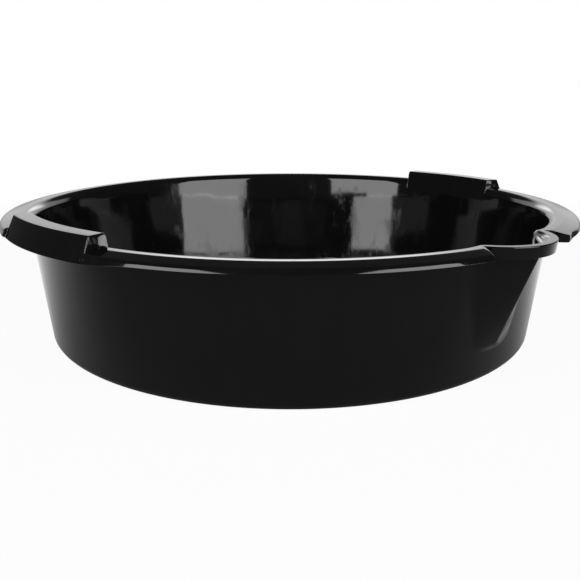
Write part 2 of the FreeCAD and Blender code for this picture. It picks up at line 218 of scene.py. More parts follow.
def channel_shape(z):
    """Half width w of the V at its roots, ridge radius, chord u of the roots and slope of the cheeks."""
    t = np.maximum(z - foot_height, 0) / (skirt_foot - foot_height)
    w = FOOT_HALF_WIDTH + (TOP_HALF_WIDTH - FOOT_HALF_WIDTH) * t
    foot_ridge = wall_radius(foot_height, "outside") + FOOT_RIDGE_STAND
    ridge = foot_ridge + (flange_radius - TOP_RIDGE_SETBACK - foot_ridge) * t
    u = np.sqrt(wall_radius(z, "outside") ** 2 - w ** 2)
    a = RIDGE_ROUND * (ridge - u) / w
    slope = (ridge - u) / (np.hypot(w, a) - a)
    return w, ridge, u, slope


def lip_arc(psi, arc_radius):
    """Distance from the axis to the lip's circle: c cos(psi) + sqrt(R^2 - c^2 sin(psi)^2).

    R is the circle's radius, c the distance of its centre from the axis, and psi the
    direction from the lip's own middle.
    """
    inside_root = arc_radius ** 2 - (lip_centre * np.sin(psi)) ** 2
    return lip_centre * np.cos(psi) + np.sqrt(np.maximum(inside_root, 0))


def mouth_limit(phi, z):
    """How far out the inside may go: a smaller lip arc that leans in downwards.

    Beyond 4 degrees to each side it grows with the square of the angle, and away from the
    spout there is no limit.
    """
    psi = phi - LIP_TURN
    beyond = np.maximum(np.degrees(np.abs(psi)) - MOUTH_HALF_DEGREES, 0)
    limit = (lip_arc(psi, LIP_RADIUS - MOUTH_INSET - MOUTH_LEAN * (crest_height - z))
             + MOUTH_OPENING * beyond ** 2)
    return np.where(np.cos(phi) > FRONT_COSINE, limit, 2 * flange_radius)


def channel_radius(phi, z, skin):
    """Radius of the wall at a direction phi (radians) and height, with the channel's swelling.

    The V is r = ridge / (cos(phi) + slope * (sqrt(sin(phi)^2 + a^2) - a)), where a rounds the
    ridge. The inside is the same V drawn in by the wall thickness, square to its cheeks.
    """
    base = wall_radius(z, skin)
    w, ridge, u, slope = channel_shape(z)
    inside = skin == "inside"
    if inside:
        ridge = ridge - wall * np.sqrt(1 + slope ** 2 + RIDGE_LEAN_ALLOWANCE)
    a = (INSIDE_RIDGE_SHARE if inside else 1.0) * RIDGE_ROUND * slope / ridge
    vee = ridge / (np.cos(phi) + slope * (np.hypot(np.sin(phi), a) - a)) - base
    root = np.maximum((ROOT_ROUND + (wall if inside else 0.0)) * (slope - w / u) ** 2 / 2, SMALLEST_ROOT)
    swelling = np.where(np.cos(phi) > 0, soft_max(vee, 0.0, root), 0.0)
    across = np.abs(base * np.sin(phi))
    foot_line = (foot_height + FOOT_LIFT + FOOT_CURVE * np.maximum(across - FOOT_HALF_FLAT, 0) ** 2
                 + (INSIDE_FOOT_LIFT if inside else 0.0))
    ended = soft_min(swelling, FOOT_SLOPE * (z - foot_line), FOOT_ROUND)
    end_round = SWELLING_ROUND * np.minimum(swelling, 1.0) + NOTHING
    swelling = soft_max(ended, 0.0, end_round) * (swelling > 0)
    if inside:
        return soft_min(base + swelling, mouth_limit(phi, z), MOUTH_ROUND)
    return base + swelling


top_of_channel = channel_shape(skirt_foot)
print(f"ridge at the lip {top_of_channel[1]:.1f} mm, cheek slope {top_of_channel[3]:.2f}")

# %% [markdown]
# ## Directions that follow the channel
#
# The channel is narrower at its foot than at the lip. With upright columns of faces its
# slanting roots would run across the mesh and show as steps in the reflection. A knife
# cut along the roots would help, but so does a simple turn: low down the directions draw
# together, so that the columns run along the roots.

# %% Directions at a height
CHANNEL_SPREAD = 10.0


def directions_at(z):
    """Directions (radians) at a height: inside 10 degrees they shrink with the channel's roots."""
    def root_angle(height):
        return np.arcsin(channel_shape(height)[0] / wall_radius(height, "outside"))
    k = root_angle(np.clip(z, foot_height, joint_height)) / root_angle(joint_height)
    spread = np.clip((spout_side - CHANNEL_SPREAD) / (SPOUT_SPREAD - CHANNEL_SPREAD), 0, 1)
    drawn = np.minimum(spout_side, CHANNEL_SPREAD) * k + spread * (SPOUT_SPREAD - CHANNEL_SPREAD * k)
    return np.radians(np.sign(columns) * np.where(spout_side < SPOUT_SPREAD, drawn, spout_side))


phi_rim = np.radians(columns)
narrowest = np.degrees(directions_at(foot_height))[np.argmin(np.abs(columns - CHANNEL_SPREAD))]
print(f"a column {CHANNEL_SPREAD:.0f} degrees out at the rim is at {narrowest:.1f} degrees at the foot")

# %% [markdown]
# ## Rim and lip in plan
#
# At the spout the rim's round outline gives way to the lip's smaller arc, which meets the
# flange in a notch on each side. Cutting the notches with a boolean would leave long thin
# faces on the crest, so the outline is again one formula: the lip's arc and the notch's
# straight line joined by a soft maximum, and a soft minimum with the flange. On the real
# pan the notch is cut more steeply on the right, and the lip is turned by one degree.

# %% Plan outline of the rim
FLANGE_DROP = 4.9
NOTCH_SLOPE_RIGHT, NOTCH_SLOPE_LEFT = 2.4, 1.35
NOTCH_END = (208.5, 36.6)
NOTCH_ROUND, SHOULDER_ROUND = 1.6, 0.8
STEEPEST = 0.05
LIP_ARC_ONLY, LIP_ZONE = 7.5, 15.0
LIP_GONE_AT, FLANGE_WHOLE_AT = 12.6, 13.6
flange_foot = crest_height - FLANGE_DROP
notch_slope = np.where(columns > 0, NOTCH_SLOPE_RIGHT, NOTCH_SLOPE_LEFT)
lip_side = np.abs(columns - math.degrees(LIP_TURN))
psi_rim = np.radians(lip_side)
near_lip = lip_side < LIP_ZONE


def rim_outline():
    """Outer radius of the rim in plan, at every direction.

    The notch is the straight line u = u0 + slope * v, which is
    r = (u0 - slope v0) / (cos(psi) - slope sin(psi)). The outline is the larger of the lip's
    arc and the notch, and nowhere more than the flange radius.
    """
    lip = lip_arc(psi_rim, LIP_RADIUS)
    u, v = NOTCH_END
    turned = np.cos(psi_rim) - notch_slope * np.sin(psi_rim)
    notch = (u - notch_slope * v) / np.maximum(turned, STEEPEST)
    joined = soft_min(soft_max(lip, notch, NOTCH_ROUND), flange_radius, SHOULDER_ROUND)
    joined = np.where(lip_side < LIP_ARC_ONLY, lip, joined)
    return np.where(near_lip, joined, flange_radius)


outline = rim_outline()
notch_angle = lip_side[near_lip][np.argmin(outline[near_lip])]
in_lip = lip_side <= notch_angle
flange_share = ease(notch_angle, FLANGE_WHOLE_AT, lip_side)
lip_share = 1 - ease(notch_angle, LIP_GONE_AT, lip_side)
print(f"notch at {notch_angle:.2f} degrees, {outline.min():.1f} mm from the axis")

# %% [markdown]
# ## Rim in section
#
# The rim's section goes over a narrow flat crest, down a gentle slope and over a small
# roll to its free edge. It could be a curve object with a bevel, but the lip needs other
# sizes than the flange, and a bevelled curve has only one. With a size for every
# direction the same few corners serve both. The hollow underneath keeps the wall's
# thickness as far as there is room for it.

# %% Top of the rim
LIP_CREST_ROUND, RIM_CREST_ROUND_GAIN = 1.5, 4.8
CREST_ROUND_FROM, CREST_ROUND_TO = 5.0, 14.0
CREST_INSET, CREST_BLEND = 6.0, 7.0
CREST_MARGIN = 1.0
EDGE_DROP_BY_GRIP, EDGE_DROP_DEGREES = 2.2, 10.0
ROLL_SETBACK = 2.0
FLANGE_FALL, FALL_STARTS_IN = 0.176, 0.7
EDGE_GAP, THINNEST_EDGE = 0.05, 0.75
CREST_EDGE_ROUND, FREE_EDGE_ROUND = 0.6, 0.3
LIP_ROLL_ROUND, FLANGE_ROLL_GAIN = 0.8, 0.9
TOP_STEPS = dict(straights=(2, 2, 3, 1, 1), arcs=(9, 3, 7, 3))

crest_round_reach = (LIP_CREST_ROUND
                     + RIM_CREST_ROUND_GAIN * ease(CREST_ROUND_FROM, CREST_ROUND_TO, lip_side))
crest_corner = soft_max(wall_radius(crest_height, "inside"),
                        np.where(near_lip, lip_arc(psi_rim, LIP_RADIUS - CREST_INSET), 0.0), CREST_BLEND)
beside_grip = np.maximum(np.maximum(GRIP_START - grip_side, grip_side - GRIP_END), 0)
edge_foot = (flange_foot - EDGE_DROP_BY_GRIP * (1 - ease(0.0, EDGE_DROP_DEGREES, beside_grip))
             + (skirt_foot - flange_foot) * lip_share)
crest_middle = (crest_corner + crest_round_reach + outline - CREST_MARGIN) / 2
crest_outer = np.where(in_lip, crest_middle, np.minimum(crest_middle, rim_middle_radius))
brink = outline - ROLL_SETBACK * flange_share
fall = FLANGE_FALL * (brink - crest_outer) * ease(notch_angle, notch_angle + FALL_STARTS_IN, lip_side)
edge_outer = outline - lip_share
edge_inner = np.minimum(np.maximum(outline - wall - lip_share,
                                   channel_radius(phi_rim, edge_foot, "outside") + EDGE_GAP),
                        edge_outer - THINNEST_EDGE)
rim_top = rounded_line(
    [(channel_radius(phi_rim, joint_height, "inside"), joint_height), (crest_corner, crest_height),
     (crest_outer, crest_height), (brink, crest_height - fall), (edge_outer, edge_foot),
     (edge_inner, edge_foot)],
    [crest_round_reach, CREST_EDGE_ROUND, LIP_ROLL_ROUND + FLANGE_ROLL_GAIN * flange_share,
     FREE_EDGE_ROUND], **TOP_STEPS)[:-1]
print("rim rows on top:", len(rim_top))

# %% Underside of the rim
HOLLOW_MARGIN = 0.06
LEDGE_CLOSED, LEDGE_OPEN = 0.8, 3.0
HOLLOW_FALL_SHARE = 0.8
THINNEST_JOINT, THINNEST_HOLLOW, UPRIGHT = 0.9, 0.1, 0.01
CORNER_ROUND, CORNER_ROUND_SHARE = 2.5, 0.3
BRINK_ROUND, BRINK_ROUND_SHARE = 1.4, 0.4
UNDER_STEPS = dict(straights=(3, 4, 5, 2), arcs=(7, 4, 6))

under_height = crest_height - wall
ledge = edge_outer - wall - channel_radius(phi_rim, under_height, "outside")
hollow_top = (edge_foot + HOLLOW_MARGIN
              + (under_height - edge_foot - HOLLOW_MARGIN) * ease(LEDGE_CLOSED, LEDGE_OPEN, ledge))
under_corner = np.minimum(channel_radius(phi_rim, hollow_top, "outside"), edge_inner - THINNEST_HOLLOW)
hollow_width = edge_inner - under_corner
hollow_brink = hollow_top - fall * HOLLOW_FALL_SHARE
under_joint = np.minimum(channel_radius(phi_rim, joint_height, "outside"), outline - THINNEST_JOINT)
rim_under = rounded_line(
    [(under_joint, joint_height), (under_corner, hollow_top),
     ((under_corner + edge_inner) / 2, hollow_top), (edge_inner - UPRIGHT, hollow_brink),
     (edge_inner, edge_foot)],
    [np.minimum(CORNER_ROUND, CORNER_ROUND_SHARE * hollow_width), UPRIGHT,
     np.minimum(BRINK_ROUND, BRINK_ROUND_SHARE * np.minimum(hollow_brink - edge_foot, hollow_width))],
    **UNDER_STEPS)
print("rim rows underneath:", len(rim_under))

# %% [markdown]
# ## Grips
#
# A grip is a raised hollow bar: an inner face that carries the basin's wall upwards, a
# flat top and a sloping skirt that covers the fingers. It could be a separate mesh joined
# on, but then the joint shows. Here its section has as many rows as the rim's, so the rim
# turns into the grip by mixing the two row by row over less than two millimetres. That
# mixing makes the upright end plate and its small fillets at once.

# %% Grip sections
GRIP_INSET, GRIP_TOP_WIDTH = 21.5, 12.5
SKIRT_MIDDLE = 92.3
GRIP_TOP_ROUNDS = (1.3, 1.0, 1.5, 0.4)
GRIP_UNDER_ROUNDS = (1.2, 0.9, 0.3)
HOLLOW_TOP_INSET, SKIRT_EDGE = 1.7, 0.8
grip_inner = flange_radius - GRIP_INSET
grip_outer = grip_inner + GRIP_TOP_WIDTH
skirt_lean = (grip_skirt_radius - grip_outer) / (grip_height - skirt_foot)


def skirt(z):
    """Radius of the grip's sloping skirt at a height."""
    return grip_outer + (grip_height - z) * skirt_lean


grip_top = rounded_line(
    [(wall_radius(joint_height, "inside"), joint_height), (grip_inner, grip_height),
     (grip_outer, grip_height), (skirt(SKIRT_MIDDLE), SKIRT_MIDDLE), (grip_skirt_radius, skirt_foot),
     (grip_skirt_radius - wall, skirt_foot)],
    GRIP_TOP_ROUNDS, **TOP_STEPS)[:-1]
grip_under = rounded_line(
    [(wall_radius(joint_height, "outside"), joint_height), (grip_inner + wall, grip_height - wall),
     (grip_outer - HOLLOW_TOP_INSET, grip_height - wall),
     (skirt(skirt_foot + SKIRT_EDGE) - wall, skirt_foot + SKIRT_EDGE),
     (grip_skirt_radius - wall, skirt_foot)],
    GRIP_UNDER_ROUNDS, **UNDER_STEPS)


def end_plate_rise(depth):
    """Share of the grip's section at each direction: 0 on the rim, 1 in the grip, in the plate's steps."""
    inward = np.minimum(grip_side - GRIP_START, GRIP_END - grip_side) / degrees_per_mm - depth
    return np.interp(inward, END_PLATE_AT, END_PLATE_RISE)[:, None]


top_rise, under_rise = end_plate_rise(0.0), end_plate_rise(wall)
top_rows = rim_top + (grip_top - rim_top) * top_rise
under_rows = rim_under + (grip_under - rim_under) * under_rise
print(f"grip top {grip_inner:.1f} to {grip_outer:.1f} mm from the axis, skirt leans {skirt_lean:.2f}")

# %% [markdown]
# ## Floor, standing ring and the whole sheet
#
# Only a ring near the wall touches the ground; inside it the floor is lifted by 1.5 mm, so
# that the pan doesn't rock. A spin of a drawn profile would make the floor and the ring,
# but not the channel. So all rows together, from the middle of the floor to the edge of
# the flange, make two skins with the same number of rows.

# %% Floor and ring
RING_STEP_WIDTH, STEP_ROUND = 3.0, 1.2
FLOOR_RADII = np.array([0.0, 6.0, 20.0, 45.0, 75.0, 105.0, 135.0, 158.0])
FLOOR_LAST_RADIUS = 170.0
INSIDE_CORNER_REACH, OUTSIDE_CORNER_REACH = 3.1, 5.4
RING_STEPS = dict(straights=(1, 1, 3, 1), arcs=(4, 4, 8))
ring_inner = floor_radius + RING_STEP_WIDTH
foot_outer = ring_outer_radius - ring_height * draft
foot_inner = wall_radius(wall, "inside")


def at_every_direction(radius, height):
    """One row of points: a radius, the same or one for each direction, and one height."""
    return np.stack([np.broadcast_to(radius, columns.shape), np.full_like(columns, height)], -1)


def floor_and_ring(level, foot, corner, corner_reach, skin):
    """Flat floor, a step down to the ring, the ring, and the corner up into the wall."""
    flat = np.stack([at_every_direction(radius, level) for radius in FLOOR_RADII])
    ring = rounded_line(
        [(FLOOR_LAST_RADIUS, level), (floor_radius, level), (ring_inner, foot), (corner, foot),
         (wall_radius(ring_height, skin), ring_height)],
        [STEP_ROUND, STEP_ROUND, corner_reach], **RING_STEPS)
    return np.concatenate([flat, ring])


inside_bottom = floor_and_ring(floor_top, wall, foot_inner, INSIDE_CORNER_REACH, "inside")
outside_bottom = floor_and_ring(floor_under, 0.0, foot_outer, OUTSIDE_CORNER_REACH, "outside")
print("rows of the floor and the ring:", len(inside_bottom))

# %% The two skins
CLOSE_ROWS_FROM, CLOSE_ROWS_TO = 20.0, 36.0
LOW_STEP, CLOSE_STEP, HIGH_STEP = 2.5, 1.0, 2.6
FLOOR_ROWS_IN_STEP = 3
wall_heights = np.concatenate([np.arange(ring_height + LOW_STEP, CLOSE_ROWS_FROM, LOW_STEP),
                               np.arange(CLOSE_ROWS_FROM, foot_height, CLOSE_STEP),
                               np.arange(foot_height, CLOSE_ROWS_TO, CLOSE_STEP),
                               np.arange(CLOSE_ROWS_TO, joint_height - CLOSE_STEP, HIGH_STEP)])


def wall_rows(skin):
    """The wall and the channel: one row at each height, from the ring to the rim."""
    return np.stack([at_every_direction(channel_radius(directions_at(z), z, skin), z)
                     for z in wall_heights])


def placed(rows):
    """Points (radius, height) turned to their directions: x = r sin(phi), y = -r cos(phi)."""
    heights = rows[..., 1]
    angles = np.stack([directions_at(min(float(z), joint_height)) for z in heights[:, 0]])
    return np.stack([rows[..., 0] * np.sin(angles), -rows[..., 0] * np.cos(angles), heights], -1) * MM


inside = placed(np.concatenate([inside_bottom, wall_rows("inside"), top_rows]))
outside = placed(np.concatenate([outside_bottom, wall_rows("outside"), under_rows]))
floor_row = len(FLOOR_RADII) + FLOOR_ROWS_IN_STEP
ring_row = len(inside_bottom) - 1
foot_row = ring_row + 1 + int(np.argmin(np.abs(wall_heights - foot_height)))
joint_row = ring_row + 1 + len(wall_heights)
print(f"{len(inside)} rows inside and {len(outside)} outside; the rim starts at row {joint_row}")


# %% [markdown]
# ## End plates of the grips
#
# The plate that closes a grip isn't flat: it stands out by a fraction of a millimetre
# along an upright line, which catches the light. A bump map would shade that line but
# leave the plate's silhouette straight, so the rows of the plate are moved round the pan
# by a tent shape across the plate's width.

# %% Crease in the end plates
CREASE_DEPTH, CREASE_RADIUS, CREASE_HALF_WIDTH = 0.8, 212.5, 6.0
CREASE_SHARPNESS = 1.9
GRIP_MIDDLE = (GRIP_START + GRIP_END) / 2


def crease_end_plates(skin):
    """Move the plate's points away from the grip by 0.8 mm times a tent across the width."""
    radius = np.hypot(skin[joint_row:, :, 0], skin[joint_row:, :, 1]) / MM
    tent = np.clip(1 - np.abs(radius - CREASE_RADIUS) / CREASE_HALF_WIDTH, 0, 1)
    on_plate = 4 * top_rise[:, 0] * (1 - top_rise[:, 0])
    away = np.sign(columns) * np.where(grip_side < GRIP_MIDDLE, -1.0, 1.0)
    turn = away * np.minimum(on_plate * CREASE_SHARPNESS, 1.0) * tent * CREASE_DEPTH / radius
    x, y = skin[joint_row:, :, 0].copy(), skin[joint_row:, :, 1].copy()
    skin[joint_row:, :, 0] = x * np.cos(turn) - y * np.sin(turn)
    skin[joint_row:, :, 1] = x * np.sin(turn) + y * np.cos(turn)
    print(f"largest turn on an end plate: {np.degrees(np.abs(turn)).max():.2f} degrees")


crease_end_plates(inside)

# %% [markdown]
# ## Normals
#
# A glossy moulding shows every flaw in its normals. Blender can average the normals of
# the faces, but where rows lie close beside wide ones that average tips over, and each
# piece would get its own at the joints. The skins know better: the cross product of the
# step to the next row and the step to the next direction is square to the surface.

# %% Normals of the skins
SHORTEST = 1e-20


def unit(vectors):
    """Vectors divided by their length."""
    return vectors / np.maximum(np.linalg.norm(vectors, axis=-1, keepdims=True), SHORTEST)


def skin_normals(skin, up):
    """Unit normals: (next row - previous row) x (next direction - previous direction)."""
    along = np.gradient(skin, axis=0)
    around = np.roll(skin, -1, axis=1) - np.roll(skin, 1, axis=1)
    normals = np.cross(along, around) * up
    normals[0] = (0.0, 0.0, up)
    return unit(normals)


inside_normals, outside_normals = skin_normals(inside, 1.0), skin_normals(outside, -1.0)
print("shortest normal:", round(float(np.linalg.norm(inside_normals, axis=-1).min()), 3))

# %% [markdown]
# ## From the sheet to pieces
#
# A piece is a set of cells of the grid. Its faces are the cells on both skins, and a strip
# between the skins wherever the piece ends, so each piece is closed. Separating a finished
# mesh by hand would give the same pieces once; cutting by masks does it again after every
# change. The strips at a joint with a neighbour are inside the plastic and never seen; the
# strip along the flange's foot is the flange's own edge.

# %% Cutting the sheet
row_count, column_count = inside.shape[:2]
points = np.concatenate([inside.reshape(-1, 3), outside.reshape(-1, 3)])
normals = np.concatenate([inside_normals.reshape(-1, 3), outside_normals.reshape(-1, 3)])


def number_of(skin, row, column):
    """Index of a grid point: skin 0 or 1, row, column. The floor's middle is one point."""
    in_row = np.where(row == 0, 0, column % column_count)
    return (skin * row_count + row) * column_count + in_row


def quads(cells, corners):
    """Four grid points for every cell, each corner given as (skin, row step, column step)."""
    row, column = np.nonzero(cells)
    return np.stack([number_of(skin, row + down, column + on) for skin, down, on in corners], -1)


def piece_faces(cells):
    """Faces on both skins, then the strips that close the piece on its four kinds of edge."""
    faces = [quads(cells, ((0, 0, 0), (0, 1, 0), (0, 1, 1), (0, 0, 1))),
             quads(cells, ((1, 0, 0), (1, 0, 1), (1, 1, 1), (1, 1, 0)))]
    none = np.zeros((1, column_count), bool)
    before = np.concatenate([none, cells[:-1]])
    before[0] = cells[0]
    after = np.concatenate([cells[1:], none])
    edges = [quads(cells & ~np.roll(cells, 1, 1), ((0, 0, 0), (1, 0, 0), (1, 1, 0), (0, 1, 0))),
             quads(cells & ~np.roll(cells, -1, 1), ((0, 0, 1), (0, 1, 1), (1, 1, 1), (1, 0, 1))),
             quads(cells & ~before, ((0, 0, 0), (0, 0, 1), (1, 0, 1), (1, 0, 0))),
             quads(cells & ~after, ((0, 1, 0), (1, 1, 0), (1, 1, 1), (0, 1, 1)))]
    return np.concatenate(faces), np.concatenate(edges)


print(len(points), "points in the sheet")


# %% Making a piece
def corners_kept(faces):
    """True for a face's corners, except one that repeats an earlier corner at the floor's middle."""
    kept = np.ones(faces.shape, bool)
    for k in (1, 2, 3):
        kept[:, k] = np.all(faces[:, k, None] != faces[:, :k], axis=1)
    return kept


def make_piece(name, cells, node, material):
    """Mesh of the cells, with the sheet's own normals on the skins and flat normals on the strips."""
    skins, edges = piece_faces(cells)
    used, renumbered = np.unique(np.concatenate([skins, edges]), return_inverse=True)
    renumbered = renumbered.reshape(-1, 4)
    kept = corners_kept(renumbered)
    mesh = bpy.data.meshes.new(name)
    mesh.from_pydata(points[used].tolist(), [], [list(dict.fromkeys(face)) for face in renumbered.tolist()])
    first, second, third, fourth = (points[edges[:, k]] for k in range(4))
    flat = unit(np.cross(second - fourth, third - first))
    corner_normals = np.concatenate([normals[skins], np.repeat(flat[:, None], 4, axis=1)])
    mesh.polygons.foreach_set("use_smooth", np.ones(len(renumbered), bool))
    mesh.normals_split_custom_set(corner_normals[kept].tolist())
    mesh.materials.append(material)
    piece = bpy.data.objects.new(name, mesh)
    bpy.context.scene.collection.objects.link(piece)
    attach(piece, "root")
    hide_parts(node)
    print(f"{name}: {len(mesh.vertices)} points, {len(mesh.polygons)} faces, for {node}")


# %% [markdown]
# ## Sockets as numbers
#
# The finish is a lot of small sums of masks. In the shader editor each sum is a Math node
# with its wires, which is hard to read back. So a small class wraps a socket: adding,
# subtracting and multiplying make the Math nodes, and one method makes any other node.

# %% The socket class
class Field:
    """A shader socket that takes part in Python expressions and makes further nodes."""

    def __init__(self, tree, socket=None):
        self.tree, self.socket = tree, socket

    def _math(self, operation, first, second):
        return self.node("ShaderNodeMath", {"operation": operation}, first, second)

    def __add__(self, other):
        return self._math("ADD", self, other)

    def __sub__(self, other):
        return self._math("SUBTRACT", self, other)

    def __rsub__(self, other):
        return self._math("SUBTRACT", other, self)

    def __mul__(self, other):
        return self._math("MULTIPLY", self, other)

    __radd__, __rmul__ = __add__, __mul__

    def node(self, kind, settings=None, *values, **named):
        """Any node: its settings first, then values or links for its sockets, by place or by name."""
        made = self.tree.nodes.new(kind)
        for key, value in (settings or {}).items():
            setattr(made, key, value)
        sockets = list(enumerate(values)) + [(key.replace("_", " "), value) for key, value in named.items()]
        for key, value in sockets:
            if isinstance(value, Field):
                self.tree.links.new(value.socket, made.inputs[key])
            else:
                made.inputs[key].default_value = value
        return Field(self.tree, made.outputs[0] if made.outputs else None)

    def out(self, name):
        """Another output of the node that this socket belongs to."""
        return Field(self.tree, self.socket.node.outputs[name])

    def steps(self, low, high):
        """Smooth step of this socket: 0 up to 'low', 1 from 'high' on."""
        return self.node("ShaderNodeMapRange", {"interpolation_type": "SMOOTHSTEP"},
                         Value=self, From_Min=low, From_Max=high)

    def between(self, first, second):
        """Colour that is 'first' where this socket is 0 and 'second' where it is 1."""
        return self.node("ShaderNodeMix", {"data_type": "RGBA"}, Factor=self, A=first, B=second).out("Result")


def start_tree(owner):
    """Empty node tree of a material or world, and a Field from which nodes are made."""
    owner.use_nodes = True
    owner.node_tree.nodes.clear()
    return Field(owner.node_tree)


print("sockets add, subtract and multiply:", [name for name in vars(Field) if name.startswith("__r")])

# %% [markdown]
# ## Black plastic
#
# The real pan is black polypropylene with a high gloss. What makes it look real is that
# the gloss isn't perfect: the reflections of the studio lamps wobble a little with the
# cooling of the plastic, faint streaks run down the wall, and specks and rubbed patches
# dull the shine. The inside wobbles more than the outside and is smudged. Image textures
# would do it, but noise on the object's own coordinates needs no seams.

# %% The plastic
GLOSS, PLASTIC_IOR = 0.055, 1.5
PATCH_DULL, STREAK_DULL, SPECK_DULL, SMUDGE_DULL = 0.03, 0.10, 0.22, 0.11
BUMP_DEPTH = 0.00010
WAVE_HEIGHT, INNER_WAVE_GAIN = 0.8, 2.0
RIPPLE_HEIGHT, INNER_RIPPLE_GAIN = 0.06, 0.10
STREAK_HEIGHT = 0.02
DEEP_BLACK, WORN_BLACK = (0.0030, 0.0030, 0.0033, 1.0), (0.0055, 0.0055, 0.0058, 1.0)
PATCH_WORN, STREAK_WORN = 0.5, 0.3
INSIDE_FROM, INSIDE_TOP = (0.0008, 0.0016), (0.086, 0.092)
PATCH_CUT, STREAK_CUT, SPECK_CUT, SMUDGE_CUT = (0.45, 0.68), (0.52, 0.72), (0.70, 0.78), (0.52, 0.66)


def make_plastic():
    """Glossy black: wavy, faintly streaked and speckled, with rubbed patches."""
    material = bpy.data.materials.new("glossy_black_plastic")
    sheet = start_tree(material)
    where = sheet.node("ShaderNodeTexCoord").out("Object")

    def noise(scale, detail, rough=0.5, upright=None):
        """Noise on the object's coordinates, drawn out along Z where 'upright' scales them down."""
        place = where
        if upright:
            place = sheet.node("ShaderNodeMapping", None, Vector=where, Scale=(1.0, 1.0, upright))
        return sheet.node("ShaderNodeTexNoise", None, Vector=place, Scale=scale, Detail=detail,
                          Roughness=rough)

    height_up = sheet.node("ShaderNodeSeparateXYZ", None, Vector=where).out("Z")
    flat = sheet.node("ShaderNodeVectorMath", {"operation": "MULTIPLY"}, where, (1.0, 1.0, 0.0))
    radius = sheet.node("ShaderNodeVectorMath", {"operation": "LENGTH"}, flat).out("Value")
    cone = draft * height_up + float(wall_radius(0.0, "outside")) * MM
    inner = (cone - radius).steps(*INSIDE_FROM) * (1 - height_up.steps(*INSIDE_TOP))
    patches = noise(scale=14.0, detail=3.0).steps(*PATCH_CUT)
    streaks = noise(scale=130.0, detail=3.0, rough=0.6, upright=0.16).steps(*STREAK_CUT)
    specks = noise(scale=420.0, detail=1.0).steps(*SPECK_CUT)
    smudges = inner * noise(scale=70.0, detail=6.0, rough=0.68, upright=0.4).steps(*SMUDGE_CUT)
    waves = noise(scale=22.0, detail=1.0)
    ripples = noise(scale=75.0, detail=2.0, upright=0.35)
    roughness = (GLOSS + PATCH_DULL * patches + STREAK_DULL * streaks * patches
                 + SPECK_DULL * specks * patches + SMUDGE_DULL * smudges)
    height = (waves * (WAVE_HEIGHT + INNER_WAVE_GAIN * inner)
              + ripples * (RIPPLE_HEIGHT + INNER_RIPPLE_GAIN * inner) + streaks * patches * STREAK_HEIGHT)
    bump = sheet.node("ShaderNodeBump", None, Strength=1.0, Distance=BUMP_DEPTH, Height=height)
    tint = (PATCH_WORN * patches + STREAK_WORN * streaks).between(DEEP_BLACK, WORN_BLACK)
    shader = sheet.node("ShaderNodeBsdfPrincipled", None, Base_Color=tint, Roughness=roughness,
                        Normal=bump, IOR=PLASTIC_IOR)
    sheet.node("ShaderNodeOutputMaterial", None, Surface=shader)
    print("plastic:", len(sheet.tree.nodes), "nodes")
    return material


plastic = make_plastic()

# %% [markdown]
# ## The ten regions
#
# The real pan is one moulding, and nothing comes off it. The regions are the ones that
# its maker would name: floor, standing ring, wall, channel, lip, three stretches of rim
# and two grips. Each is a mask over the grid's cells, by row and by direction. Drawing
# the borders by hand on the mesh would be quicker once, but wouldn't follow a new size.

# %% The pieces
cell_rows = np.arange(row_count - 1)[:, None]
next_column = np.roll(columns, -1)
cell_middle = np.where(next_column < columns, 180.0, (columns + next_column) / 2)
cell_angle, cell_side = np.abs(cell_middle), np.sign(cell_middle)
grip_angle = np.abs(cell_middle + GRIP_TURN)
plate_foot = END_PLATE_AT[-1] * degrees_per_mm

everywhere = np.ones((1, column_count), bool)
in_rim = cell_rows >= joint_row
in_wall = (cell_rows >= ring_row) & (cell_rows < joint_row) & everywhere
in_channel = (cell_rows >= foot_row) & (cell_rows < joint_row) & (cell_angle < CHANNEL_EDGE)
in_grip = (grip_angle > GRIP_START - plate_foot) & (grip_angle < GRIP_END + plate_foot)
beside_lip = (cell_angle > LIP_EDGE) & (grip_angle < GRIP_START - plate_foot)
PIECES = {
    "basin_floor": ("floor_panel", (cell_rows < floor_row) & everywhere),
    "standing_ring": ("base_ring", (cell_rows >= floor_row) & (cell_rows < ring_row) & everywhere),
    "basin_wall": ("side_wall", in_wall & ~in_channel),
    "channel_shell": ("pour_channel", in_channel),
    "lip_shell": ("pour_lip", in_rim & (cell_angle < LIP_EDGE)),
    "rim_behind": ("rim_back", in_rim & (grip_angle > GRIP_END + plate_foot)),
    "rim_right": ("rim_front_right", in_rim & beside_lip & (cell_side > 0)),
    "rim_left": ("rim_front_left", in_rim & beside_lip & (cell_side < 0)),
    "grip_shell_right": ("grip_right", in_rim & in_grip & (cell_side > 0)),
    "grip_shell_left": ("grip_left", in_rim & in_grip & (cell_side < 0)),
}
for piece_name, (cad_node, cell_mask) in PIECES.items():
    make_piece(piece_name, cell_mask, cad_node, plastic)

# %% [markdown]
# ## Camera
#
# The photograph was taken from a little above the rim, in front of the spout's left side.
# Turning a camera by eye until it fits takes long, so the lens and the place were worked
# out from the pan's ellipses.

